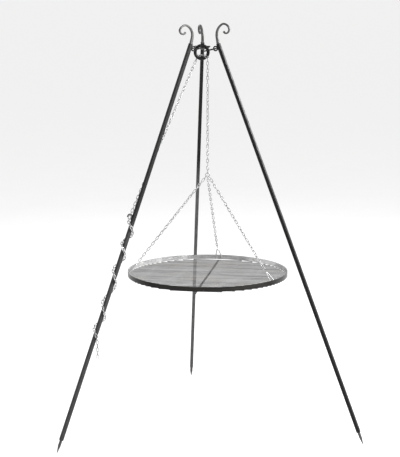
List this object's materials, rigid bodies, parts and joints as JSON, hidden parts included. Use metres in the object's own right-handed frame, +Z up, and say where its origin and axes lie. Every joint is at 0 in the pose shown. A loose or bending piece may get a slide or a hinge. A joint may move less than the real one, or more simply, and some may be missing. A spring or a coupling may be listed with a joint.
{
  "type": "campfire tripod grate",
  "caption": "Steel campfire tripod with scrolled leg tops and a round rod grate hung on chains; the lifting chain runs over the hub ring to a hook on one leg.",
  "frame": {"origin": "on the ground below the axis where the three legs meet", "axes": "+Z up; the rear leg stands towards +Y, so the side seen in the picture faces -Y; +X to the viewer's right"},
  "size_m": [1.3218, 1.1451, 1.7995],
  "materials": {
    "black_steel": "satin",
    "zinc_steel": "satin",
    "grate_steel": "matte"
  },
  "bodies": {
    "hub": {"hub_ring": "black_steel", "left_hub_link": "black_steel", "right_hub_link": "black_steel", "rear_hub_link": "black_steel", "hub_chain": "zinc_steel"},
    "left_leg": {"left_leg_tube": "black_steel", "left_leg_scroll": "black_steel", "left_leg_eye": "black_steel", "left_foot_spike": "black_steel", "chain_hook": "black_steel", "leg_chain": "zinc_steel", "wound_chain": "zinc_steel"},
    "right_leg": {"right_leg_tube": "black_steel", "right_leg_scroll": "black_steel", "right_leg_eye": "black_steel", "right_foot_spike": "black_steel"},
    "rear_leg": {"rear_leg_tube": "black_steel", "rear_leg_scroll": "black_steel", "rear_leg_eye": "black_steel", "rear_foot_spike": "black_steel"},
    "loose_tail": {"chain_tail": "zinc_steel"},
    "top_link": {"chain_top_link": "zinc_steel"},
    "hanging_chain": {"main_chain": "zinc_steel"},
    "end_link": {"chain_end_link": "zinc_steel"},
    "grate": {"sling_ring": "zinc_steel", "left_grate_chain": "zinc_steel", "left_bail": "grate_steel", "right_grate_chain": "zinc_steel", "right_bail": "grate_steel", "rear_grate_chain": "zinc_steel", "rear_bail": "grate_steel", "grate_rim": "grate_steel", "grate_rods": "grate_steel", "grate_cross_bar": "grate_steel"}
  },
  "joints": [
    {"name": "left_leg_fold", "type": "hinge", "parent": "hub", "child": "left_leg", "pos_m": [-0.04824, -0.02785, 1.688], "axis": [-0.5, 0.866, 0], "range_deg": [-3, 0]},
    {"name": "right_leg_fold", "type": "hinge", "parent": "hub", "child": "right_leg", "pos_m": [0.04824, -0.02785, 1.688], "axis": [-0.5, -0.866, 0], "range_deg": [-3, 0]},
    {"name": "rear_leg_fold", "type": "hinge", "parent": "hub", "child": "rear_leg", "pos_m": [0, 0.0557, 1.688], "axis": [1, 0, 0], "range_deg": [-3, 0]},
    {"name": "grate_swing_front_back", "type": "hinge", "parent": "hub", "child": "top_link", "pos_m": [0.016, -0.008, 1.646], "axis": [-1, 0, 0], "range_deg": [-2, 2]},
    {"name": "grate_swing_side", "type": "hinge", "parent": "top_link", "child": "hanging_chain", "pos_m": [0.016, -0.008, 1.646], "axis": [0, 1, 0], "range_deg": [-2, 2]},
    {"name": "grate_lift", "type": "slide", "parent": "hanging_chain", "child": "end_link", "axis": [0, 0, 1], "range_m": [0, 0.16], "deforming": ["main_chain"]},
    {"name": "grate_spin", "type": "hinge", "parent": "end_link", "child": "grate", "pos_m": [0.016, -0.008, 1.1334], "axis": [0, 0, 1], "range_deg": [-25, 25]},
    {"name": "chain_tail_swing", "type": "hinge", "parent": "left_leg", "child": "loose_tail", "pos_m": [-0.48096, -0.29469, 0.46555], "axis": [0.5, -0.866, 0], "range_deg": [-12, 12]}
  ]
}
